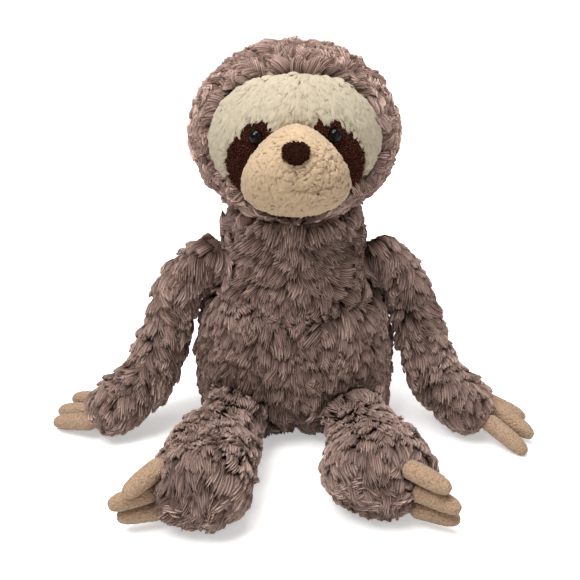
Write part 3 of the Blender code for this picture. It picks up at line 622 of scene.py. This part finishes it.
def lock_mesh(name, points, facing, layers, places):
    """A mesh of closed leaves, each a grid of columns and rings, with its bake map and attributes."""
    count, columns, rings = points.shape[:3]
    per = columns * rings
    last = per - rings
    faces = []
    for column in range(columns - 1):
        low, high = column * rings, column * rings + rings
        for ring in range(rings - 1):
            faces.append((low + ring, low + ring + 1, high + ring + 1, high + ring))
        faces.append((low, high, high + rings - 1, low + rings - 1))
    faces.append(tuple(range(rings - 1, -1, -1)))
    faces.append(tuple(range(last, per)))
    pattern = np.array([corner for face in faces for corner in face], np.int32)
    lengths = np.array([len(face) for face in faces], np.int32)
    loops = (pattern[None, :] + (np.arange(count, dtype=np.int32) * per)[:, None]).ravel()
    totals = np.tile(lengths, count)
    mesh = bpy.data.meshes.new(name)
    mesh.vertices.add(count * per)
    mesh.vertices.foreach_set("co", points.astype(np.float32).ravel())
    mesh.loops.add(len(loops))
    mesh.loops.foreach_set("vertex_index", loops)
    mesh.polygons.add(len(totals))
    mesh.polygons.foreach_set("loop_start", np.concatenate(([0], np.cumsum(totals)[:-1])).astype(np.int32))
    mesh.polygons.foreach_set("use_smooth", np.ones(len(totals), bool))
    mesh.update(calc_edges=True)

    if facing is None:
        # The lines between strands stay crisp and the strands' own length is smooth
        ends = table(mesh.edges, "vertices", 2, np.int32)
        lengthwise = (ends[:, 0] // rings == ends[:, 1] // rings) & (abs(ends[:, 0] - ends[:, 1]) == 1)
        sharp = mesh.attributes.new("sharp_edge", "BOOLEAN", "EDGE")
        sharp.data.foreach_set("value", lengthwise)
    else:
        # Soft pile takes the light as its whole lock does
        soft = mesh.attributes.new("custom_normal", "FLOAT_VECTOR", "POINT")
        soft.data.foreach_set("vector", facing.astype(np.float32).ravel())
    for key, values in layers.items():
        layer = mesh.attributes.new(key, "FLOAT", "POINT")
        layer.data.foreach_set("value", values.astype(np.float32).ravel())

    # Each lock has a cell of the bake map
    cells = max(1, math.ceil(math.sqrt(count)))
    cell = np.arange(count)
    local_u = (0.05 + 0.9 * np.repeat(np.arange(columns) / (columns - 1), rings))[pattern]
    local_v = (0.05 + 0.9 * np.tile(places, columns))[pattern]
    uvs = np.empty((count, len(pattern), 2))
    uvs[:, :, 0] = ((cell % cells)[:, None] + local_u[None, :]) / cells
    uvs[:, :, 1] = ((cell // cells)[:, None] + local_v[None, :]) / cells
    layer = mesh.uv_layers.new(name="OFBake")
    layer.uv.foreach_set("vector", uvs.astype(np.float32).ravel())
    piece = bpy.data.objects.new(name, mesh)
    bpy.context.scene.collection.objects.link(piece)
    return piece


def face_place(point):
    """Where a point lies on the face: across it, up it and out from the head's middle."""
    offset = point - HEAD_CENTRE
    return offset.dot(FACE_ACROSS), offset.dot(FACE_UP), offset.dot(TOWARDS_FACE)


def opening_outline(growth, corner):
    """The opening's outline, grown by a length and drawn in further at its lower corners."""
    right = [(across * HEAD_HALF_WIDTH, up * HEAD_HALF_HEIGHT) for across, up in FACE_OPENING]
    points = right + [(-across, up) for across, up in reversed(right[1:-1])]
    middle_up = sum(up for _, up in points) / len(points)
    outline = []
    for across, up in points:
        way = Vector((across, up - middle_up))
        low = up < -0.45 * HEAD_HALF_HEIGHT and abs(across) > 0.45 * HEAD_HALF_WIDTH
        outline.append(way * (1 + (growth - corner * low) / way.length) + Vector((0, middle_up)))
    return outline


def inside(outline, across, up):
    """True where a place lies inside an outline."""
    crossings = 0
    for (ax, ay), (bx, by) in zip(outline, outline[1:] + outline[:1]):
        if (ay > up) != (by > up) and across < (bx - ax) * (up - ay) / (by - ay) + ax:
            crossings += 1
    return crossings % 2 == 1


def limb_way(limb, point):
    """The way along a limb at its nearest stretch to a point."""
    pivot, span, route = LIMBS[limb]
    places = [Vector((pivot[0] + span[0] * a, pivot[1] + span[1] * b, pivot[2] + span[2] * c)) for a, b, c in route]
    best = None
    for start, end in zip(places, places[1:]):
        nearest, share = geometry.intersect_point_line(point, start, end)
        share = clamp(share)
        gap = (point - start.lerp(end, share)).length
        if best is None or gap < best[0]:
            best = (gap, (end - start).normalized())
    return best[1]


def torso_flow(point, normal):
    """Down the body, parted a little at the front seam."""
    apart = math.copysign(0.12 * math.exp(-abs(point.x) / 0.02), point.x) if point.y < 0 else 0
    shoulder = clamp((point.z - 0.105) / 0.03) * point.x / 0.022
    if normal.z > 0.5 and point.z > 0.140:
        return Vector((point.x, point.y, 0)).normalized() * 2
    return DOWN + Vector((apart + shoulder, 0, 0))


def head_flow(point, normal):
    """Away from the face all round, then down."""
    across, up, reach = face_place(point)
    away = FACE_ACROSS * across + FACE_UP * (up + 0.010)
    if away.length > 0:
        away.normalize()
    return away + DOWN * 0.25 + noise.noise_vector(point * HOOD_SWIRL_SCALE) * 0.75


def claws_of(limb):
    """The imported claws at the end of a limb."""
    kind, side = limb.split("_")
    paw = {"arm": "hand", "leg": "foot"}[kind]
    return [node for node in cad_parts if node.startswith(f"{side}_{paw}_claw")]


class PLUSH_OT_stuffed_forms(bpy.types.Operator):
    """Model the stuffed torso, head, arms and legs that the fur grows on"""
    bl_idname = "plush.stuffed_forms"
    bl_label = "Stuffed forms"

    def execute(self, context):
        inset = sizes().fur_inset
        # The fur's backing is painted dark, as the shade that shows in the gaps between the locks
        material = backing_material("fur_backing_painted_shade", colours().fur_base_shade)
        stuffed_form("torso_backing", ["torso_skin", "torso_filling"], "torso", material, "mauve_fur", ["torso_skin"],
                     inset=inset, voxel=0.0024, smoothing=6, shape=torso_shape)
        stuffed_form("head_backing", ["head_skin", "head_filling", "brow_panel", "eye_patch_left", "eye_patch_right"],
                     "head", material, "mauve_fur", ["head_skin"], inset=inset * 1.15, voxel=0.0024, smoothing=6)
        fibre = looks["fibre"] = fibre_material("loose_fibre", (0.85, 0.85, 0.83))
        for body in ("torso", "head", *LIMBS):
            filling = [body + "_filling"]
            stuffed_form(body + "_fibre", filling, body, fibre, "fibre_filling", filling,
                         inset=0.0062 if body == "torso" else 0.0068, voxel=0.0032, smoothing=4,
                         shape=LIMB_SHAPES.get(body))
        for limb in LIMBS:
            share = 1.15 if limb.startswith("arm") else 0.85
            stuffed_form(limb + "_backing", [limb + "_skin", limb + "_filling"], limb, material, "mauve_fur",
                         [limb + "_skin"], inset=inset * share, voxel=0.0020, smoothing=5, shape=LIMB_SHAPES[limb])
        return {"FINISHED"}


def torso_shape(place, normal):
    """The sloping shoulders, the front seam's furrow, the fold of the belly and the tucked-in lower edge."""
    slope = SHOULDER_SLOPE(place, normal)
    if place.y > 0:
        return slope
    tuck = 0.0065 * clamp((0.030 - place.z) / 0.025) * min(-place.y / 0.03, 1)
    seam = math.exp(-(place.x / 0.0060) ** 2) * clamp((0.100 - place.z) / 0.03) * 0.0045
    fold = math.exp(-((place.z - 0.100 - 0.1 * abs(place.x)) / 0.007) ** 2) * 0.0042
    lumps = noise.noise(place * 38.0) * 0.0014
    return slope - normal * (seam + fold - lumps) - Vector((normal.x, normal.y, 0)) * tuck


def swell(*pushes):
    """A shape that pushes the padding round each centre one way, fading out over a reach."""
    pushes = [(Vector(centre), reach, Vector(way)) for centre, reach, way in pushes]

    def shape(place, normal):
        moved = Vector()
        for centre, reach, way in pushes:
            moved += way * math.exp(-((place - centre).length / reach) ** 2)
        return moved
    return shape


# Padding that runs out from the neck over the roots of the arms
SHOULDER_SLOPE = swell(((-0.049, 0.002, 0.137), 0.0125, (-0.009, 0, 0)),
                       ((0.049, 0.002, 0.137), 0.0125, (0.009, 0, 0)))

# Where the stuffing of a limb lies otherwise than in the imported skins: flatter shoulders and fuller knees
LIMB_SHAPES = {
    "arm_left": swell(((-0.076, 0.003, 0.146), 0.016, (0.0015, 0, -0.0045))),
    "arm_right": swell(((0.076, 0.003, 0.146), 0.016, (-0.0015, 0, -0.0040))),
    "leg_left": swell(((-0.078, -0.085, 0.040), 0.028, (-0.0055, 0, 0.0015)),
                      ((-0.055, -0.145, 0.022), 0.032, (-0.0040, 0.0010, 0.0010))),
    "leg_right": swell(((0.026, -0.115, 0.024), 0.027, (-0.0070, 0, 0))),
}


def grow_fur(name, form, body, keep, flow, seed, panels, look="long_fur", jitter=0.18, spacing=1.0, stay=None,
             size=1.0, pale=0.0):
    """Long fur on a form, split into the panels that the skin is sewn from."""
    values = sizes()
    coat = Coat(forms[form], values.lock_spacing * spacing, seed, keep, flow, values.lock_length, swirl=0.70,
                jitter=jitter, sink=0.4, stay=stay)
    if look not in looks:
        # Each look is a lighter or darker copy of the fur's colours; the hood's lighter copy is painted light
        root, tip = (shaded(colour, FUR_LIGHTNESS_WITH_PAINTED_LIGHT[look]) for colour in (colours().fur_root_shade, colours().fur_tip))
        looks[look] = pile_material(look, root, tip, spread=1.1, sheen=0.0, warm=(1.03, 1.0, 0.96), shine=0.05,
                                    depth=1.9, share=0.6, hair=0.26)
    for panel, test in panels.items():
        chosen = np.array([test(row) for row in coat.rows])
        piece = coat.locks(f"{name}_fur{panel}", chosen, LONG_LOCK, values.lock_width * size, values.lock_height,
                           pale)
        finish_piece(piece, looks[look], body, "mauve_fur")
        print("fur", piece.name, int(chosen.sum()), "locks")


def keeper(others, depth, claws=()):
    """How long the fur may be at a root: zero deep in a neighbour or under the seat, and short at the claws."""
    trees = [tree_of(forms[other]) for other in others]
    claw_trees = [tree_of(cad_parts[node]) for node in claws]

    def keep(point, normal):
        if point.z < SEAT_BAND and normal.z < -0.6:
            return 0
        length = 0.45 + 0.55 * min(point.z / 0.025, 1)
        for tree in trees:
            if gap_to(tree, point) < -depth:
                return 0
        for tree in claw_trees:
            gap = gap_to(tree, point + normal * 0.002)
            if gap < CLAW_CLEARANCE:
                return 0
            length = min(length, 0.50 + gap / 0.016)
        return length
    return keep


class PLUSH_OT_torso_fur(bpy.types.Operator):
    """Grow the long fur of the torso, in four panels"""
    bl_idname = "plush.torso_fur"
    bl_label = "Torso fur"

    def execute(self, context):
        clear = keeper(["head_backing"] + [limb + "_backing" for limb in LIMBS], 0.001)

        def keep(point, normal):
            over = math.exp(-((point.z - 0.146) / 0.012) ** 2) * min(abs(point.x) / 0.04, 1)
            return clear(point, normal) * (1 + 0.3 * over)
        panels = {
            "_front_left": lambda row: row[1] < 0 and row[0] < 0,
            "_front_right": lambda row: row[1] < 0 and row[0] >= 0,
            "_back_left": lambda row: row[1] >= 0 and row[0] < 0,
            "_back_right": lambda row: row[1] >= 0 and row[0] >= 0,
        }
        grow_fur("torso", "torso_backing", "torso", keep, torso_flow, 11, panels)
        return {"FINISHED"}


class PLUSH_OT_hood_fur(bpy.types.Operator):
    """Grow the long fur of the head round the face"""
    bl_idname = "plush.hood_fur"
    bl_label = "Hood fur"

    def execute(self, context):
        outline = opening_outline(-0.007, 0.006)
        edge = opening_outline(-0.0005, 0.007)
        neck = keeper(["torso_backing"], 0.001)

        def keep(point, normal):
            across, up, reach = face_place(point)
            if reach > 0 and inside(outline, across, up):
                return 0
            low = clamp((HEAD_CENTRE.z - point.z) / 0.05)
            return neck(point, normal) * (1 + 0.25 * low)

        def clear_of_face(place):
            across, up, reach = face_place(place)
            return reach < 0 or not inside(edge, across, up)

        panels = {
            "_left": lambda row: row[0] < 0 and row[1] < 0.020,
            "_right": lambda row: row[0] >= 0 and row[1] < 0.020,
            "_back": lambda row: row[1] >= 0.020,
        }
        # The hood's fur is painted lighter and paler, painted light for the stronger light on the head
        grow_fur("hood", "head_backing", "head", keep, head_flow, 12, panels, "hood_fur", jitter=0.30, spacing=0.86,
                 stay=clear_of_face, size=0.86, pale=0.25)
        return {"FINISHED"}


class PLUSH_OT_limb_fur(bpy.types.Operator):
    """Grow the long fur of the arms and legs, combed towards the paws"""
    bl_idname = "plush.limb_fur"
    bl_label = "Limb fur"

    def execute(self, context):
        for seed, limb in enumerate(LIMBS, 13):
            keep = keeper(["torso_backing"], 0.022, claws_of(limb))

            def flow(point, normal, limb=limb, root=Vector(LIMBS[limb][0])):
                near = math.exp(-((point - root).length / 0.028) ** 2) if limb.startswith("arm") else 0
                return limb_way(limb, point) + DOWN * (0.35 + 1.3 * near)
            look = "leg_fur" if limb.startswith("leg") else "long_fur"
            grow_fur(limb, limb + "_backing", limb, keep, flow, seed, {"": lambda row: True}, look)
        return {"FINISHED"}


def short_pile(name, form, slot, material, seed, flow, keep, lock, spacing, length, width, height, swirl=0.35,
               ground=()):
    """A short pile on a small form of the face."""
    coat = Coat(form, spacing, seed, keep, flow, length, swirl, jitter=0.14, ground=ground)
    piece = coat.locks(name, np.ones(len(coat.rows), bool), lock, width, height)
    finish_piece(piece, material, "head", slot)


class PLUSH_OT_brow(bpy.types.Operator):
    """Model the cream brow panel with its short pile"""
    bl_idname = "plush.brow"
    bl_label = "Brow panel"

    def execute(self, context):
        # The brow's backing takes the painted shade of the pile's roots, a little lighter
        backing = backing_material("cream_backing_shade", shaded(colours().cream_root_shade, 1.15), sheen=0.2, scale=1200)
        form = stuffed_form("brow_panel_plush", ["brow_panel"], "head", backing, "cream_plush", ["brow_panel"],
                            inset=0.0, voxel=0.0011, smoothing=4)
        pile = pile_material("cream_pile", colours().cream_root_shade, colours().cream_tip, spread=0.6, sheen=0.1,
                             warm=(1.0, 0.98, 0.94))

        def flow(point, normal):
            across = face_place(point)[0]
            return FACE_ACROSS * (across * 14) + FACE_UP * -0.55

        def keep(point, normal):
            return 1.0 if normal.dot(TOWARDS_FACE) > 0.15 else 0
        patches = [forms["eye_patch_left_velour"], forms["eye_patch_right_velour"]]
        short_pile("brow_panel_pile", form, "cream_plush", pile, 31, flow, keep, SHORT_LOCK, spacing=0.0015,
                   length=sizes().brow_pile, width=0.0032, height=0.0016, ground=patches)
        return {"FINISHED"}


class PLUSH_OT_eye_patches(bpy.types.Operator):
    """Model the dark eye patches with their cut pile"""
    bl_idname = "plush.eye_patches"
    bl_label = "Eye patches"

    def execute(self, context):
        root, tip = colours().dark_root_shade, colours().dark_tip
        velour = velour_material("dark_velour", root, tip, scale=1500, depth=0.0005, sheen=0.0, shine=0.0)
        looks["dark_velour"] = velour
        pile = pile_material("dark_pile", root, tip, spread=1.5, sheen=0.0, shine=0.0, share=0.9)

        def keep(point, normal):
            return 1.0 if normal.dot(TOWARDS_FACE) > 0.1 else 0
        for seed, side in enumerate(("left", "right"), 41):
            patch = ["eye_patch_" + side]
            form = stuffed_form(f"eye_patch_{side}_velour", patch, "head", velour, "dark_brown_velour", patch,
                                inset=0.0, voxel=0.0009, smoothing=3)
            short_pile(f"eye_patch_{side}_pile", form, "dark_brown_velour", pile, seed, lambda point, normal: DOWN,
                       keep, TINY_LOCK, spacing=0.0011, length=sizes().patch_pile, width=0.0014, height=0.0012)
        return {"FINISHED"}


class PLUSH_OT_muzzle(bpy.types.Operator):
    """Model the tan muzzle, with its mouth line and short pile"""
    bl_idname = "plush.muzzle"
    bl_label = "Muzzle"

    def execute(self, context):
        # The muzzle's backing takes the painted shade of the pile's roots, a little lighter
        backing = backing_material("tan_backing_shade", shaded(colours().tan_root_shade, 1.15), sheen=0.2, scale=1300)
        form = stuffed_form("muzzle_plush", ["muzzle", "muzzle_filling"], "head", backing, "tan_velour", ["muzzle"],
                            inset=0.0012, voxel=0.0014, smoothing=5, shape=muzzle_shape)
        pile = pile_material("tan_pile", colours().tan_root_shade, colours().tan_tip, spread=0.7, sheen=0.1,
                             warm=(1.0, 0.97, 0.92))

        def flow(point, normal):
            across, up, _ = face_place(point)
            return FACE_ACROSS * (across * 22) + FACE_UP * ((up + MUZZLE_CENTRE_DROP) * 18 - 0.2)

        def keep(point, normal):
            return 1.0 if face_place(point)[2] > 0.030 else 0
        short_pile("muzzle_pile", form, "tan_velour", pile, 51, flow, keep, FINE_LOCK, spacing=0.0014,
                   length=sizes().muzzle_pile, width=0.0024, height=0.0013, swirl=0.9)
        return {"FINISHED"}


def muzzle_shape(place, normal):
    """The short line under the nose and the crease of the smile."""
    across, up, reach = face_place(place)
    if reach < 0.050:
        return Vector()
    below = up + MUZZLE_CENTRE_DROP
    line = math.exp(-(across / 0.0016) ** 2) * math.exp(-((below + 0.004) / 0.005) ** 2) * 0.0016
    smile_up = -0.016 + 9.0 * (across - 0.004) ** 2
    smile = math.exp(-((below - smile_up) / 0.0022) ** 2) * math.exp(-((across - 0.008) / 0.016) ** 2) * 0.0018
    return -normal * (line + smile)


def nose_shape(place, normal):
    """Fuller sides below the middle, so that the nose is round rather than three-sided."""
    across, up, reach = face_place(place)
    below = clamp((NOSE_MIDDLE_UP - up) / NOSE_HALF_HEIGHT)
    return FACE_ACROSS * (across * 0.7 * below * (1.15 - below))


class PLUSH_OT_nose(bpy.types.Operator):
    """Model the dark nose"""
    bl_idname = "plush.nose"
    bl_label = "Nose"

    def execute(self, context):
        pile = pile_material("nose_pile", colours().dark_root_shade, shaded(colours().dark_tip, 0.5), spread=1.2,
                             sheen=0.0, shine=0.0, share=0.9)
        form = stuffed_form("nose_velour", ["nose"], "head", looks["dark_velour"], "dark_brown_velour", ["nose"],
                            inset=0.0007, voxel=0.0008, smoothing=4, shape=nose_shape)
        short_pile("nose_pile", form, "dark_brown_velour", pile, 61, lambda point, normal: DOWN,
                   lambda point, normal: 1.0, TINY_LOCK, spacing=0.0008, length=0.0013, width=0.0009, height=0.0010)
        return {"FINISHED"}


class PLUSH_OT_eyes(bpy.types.Operator):
    """Model the glossy domed eyes"""
    bl_idname = "plush.eyes"
    bl_label = "Eyes"

    def execute(self, context):
        gloss = plastic_material("glossy_eye", (0.001, 0.001, 0.001), roughness=0.04, shine=0.22)
        for side in ("left", "right"):
            piece = copy_of(f"eye_{side}_dome", ["eye_" + side])
            modify(piece, "BEVEL", width=0.0003, segments=2, limit_method="ANGLE", angle_limit=math.radians(50))
            modify(piece, "SUBSURF", levels=2, render_levels=2)
            finish_piece(piece, gloss, "head", "black_eye_plastic", "eye_" + side)
        return {"FINISHED"}


def claw_swell(place, normal):
    """Stuffing swells a claw back to its packed width, a little unevenly."""
    return normal * (0.0011 + noise.noise(place * 420.0) * 0.0003)


class PLUSH_OT_claws(bpy.types.Operator):
    """Model the stuffed velour claws"""
    bl_idname = "plush.claws"
    bl_label = "Claws"

    def execute(self, context):
        velour = velour_material("claw_velour", colours().claw_root_shade, colours().claw_tip, scale=700, depth=0.0010,
                                 sheen=0.15, shine=0.2)
        for node in sorted(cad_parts):
            if "_claw_" not in node:
                continue
            piece = copy_of(node + "_velour", [node])
            modify(piece, "SUBSURF", levels=3, render_levels=3)
            move_points(piece, claw_swell)
            finish_piece(piece, velour, node, "tan_velour", node)
        return {"FINISHED"}


class PLUSH_OT_inner_pieces(bpy.types.Operator):
    """Give the fillings, washers and pellet bag their materials"""
    bl_idname = "plush.inner_pieces"
    bl_label = "Inner pieces"

    def execute(self, context):
        fibre = looks["fibre"]
        washer = plastic_material("washer_plastic", (0.80, 0.80, 0.78), roughness=0.45, shine=0.5)
        cloth = weave_material("bag_cloth", (0.62, 0.60, 0.56))
        for name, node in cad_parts.items():
            if name == "muzzle_filling":
                material = fibre
            elif name.startswith("eye_washer"):
                material = washer
            elif name == "pellet_bag":
                material = cloth
            else:
                continue
            node.data.materials.clear()
            node.data.materials.append(material)
        return {"FINISHED"}


class PLUSH_OT_stage(bpy.types.Operator):
    """Add the pale floor, the soft lights and the camera"""
    bl_idname = "plush.stage"
    bl_label = "Stage"

    def execute(self, context):
        bpy.ops.object.select_all(action="DESELECT")
        bpy.ops.mesh.primitive_plane_add(size=8.0, location=(0, 0, 0))
        floor = context.object
        floor.name = "floor"
        shader = Shader("pale_floor", 0.9)
        rays = shader.node("ShaderNodeLightPath", {}, {}, "Is Camera Ray")
        shader.paint(shader.blend(rays, FLOOR_GREY, FLOOR_SEEN))
        shader.tree.links.new(shader.blend(rays, (0.0, 0.0, 0.0), FLOOR_GLOW).socket,
                              shader.surface.inputs["Emission Color"])
        shader.surface.inputs["Emission Strength"].default_value = 1.0
        floor.data.materials.append(shader.material)

        for name, place, size, power in LIGHTS:
            bpy.ops.object.light_add(type="AREA", location=place)
            lamp = context.object
            lamp.name = name
            lamp.data.size = size
            lamp.data.energy = power
            aim = LIGHTS_AIM - Vector(place)
            lamp.rotation_euler = aim.to_track_quat("-Z", "Y").to_euler()

        world = bpy.data.worlds.new("studio")
        context.scene.world = world
        world.use_nodes = True
        tree = world.node_tree
        background = tree.nodes["Background"]
        background.inputs["Color"].default_value = ROOM_LIGHT
        white = tree.nodes.new("ShaderNodeBackground")
        white.inputs["Color"].default_value = (1.0, 1.0, 1.0, 1.0)
        path = tree.nodes.new("ShaderNodeLightPath")
        mix = tree.nodes.new("ShaderNodeMixShader")
        tree.links.new(path.outputs["Is Camera Ray"], mix.inputs[0])
        tree.links.new(background.outputs[0], mix.inputs[1])
        tree.links.new(white.outputs[0], mix.inputs[2])
        tree.links.new(mix.outputs[0], tree.nodes["World Output"].inputs["Surface"])

        bpy.ops.object.camera_add(location=CAMERA_PLACE, rotation=(CAMERA_TILT, 0, 0))
        camera = context.object
        camera.data.sensor_width = 36.0
        camera.data.lens = CAMERA_LENS
        camera.data.dof.use_dof = False
        context.scene.camera = camera
        context.scene.view_settings.view_transform = "Standard"
        return {"FINISHED"}


class PLUSH_PT_panel(bpy.types.Panel):
    """Lists the steps in the order that they run"""
    bl_idname = "PLUSH_PT_panel"
    bl_label = "Plush sloth"
    bl_space_type = "VIEW_3D"
    bl_region_type = "UI"
    bl_category = "Plush"

    def draw(self, context):
        for operator in OPERATORS:
            self.layout.operator(operator.bl_idname)
        for group in (context.scene.plush_sizes, context.scene.plush_colours):
            for key in group.bl_rna.properties.keys():
                if key not in ("rna_type", "name"):
                    self.layout.prop(group, key)


OPERATORS = (
    PLUSH_OT_stuffed_forms, PLUSH_OT_torso_fur, PLUSH_OT_hood_fur, PLUSH_OT_limb_fur, PLUSH_OT_eye_patches,
    PLUSH_OT_brow, PLUSH_OT_muzzle, PLUSH_OT_nose, PLUSH_OT_eyes, PLUSH_OT_claws, PLUSH_OT_inner_pieces,
    PLUSH_OT_stage,
)
CLASSES = (PlushSizes, PlushColours) + OPERATORS + (PLUSH_PT_panel,)


def register():
    for kind in CLASSES:
        bpy.utils.register_class(kind)
    bpy.types.Scene.plush_sizes = PointerProperty(type=PlushSizes)
    bpy.types.Scene.plush_colours = PointerProperty(type=PlushColours)


def unregister():
    del bpy.types.Scene.plush_colours
    del bpy.types.Scene.plush_sizes
    for kind in reversed(CLASSES):
        bpy.utils.unregister_class(kind)


def main():
    register()
    noise.seed_set(SWIRL_SEED)
    for operator in OPERATORS:
        group, name = operator.bl_idname.split(".")
        getattr(getattr(bpy.ops, group), name)()


if __name__ == "__main__":
    main()
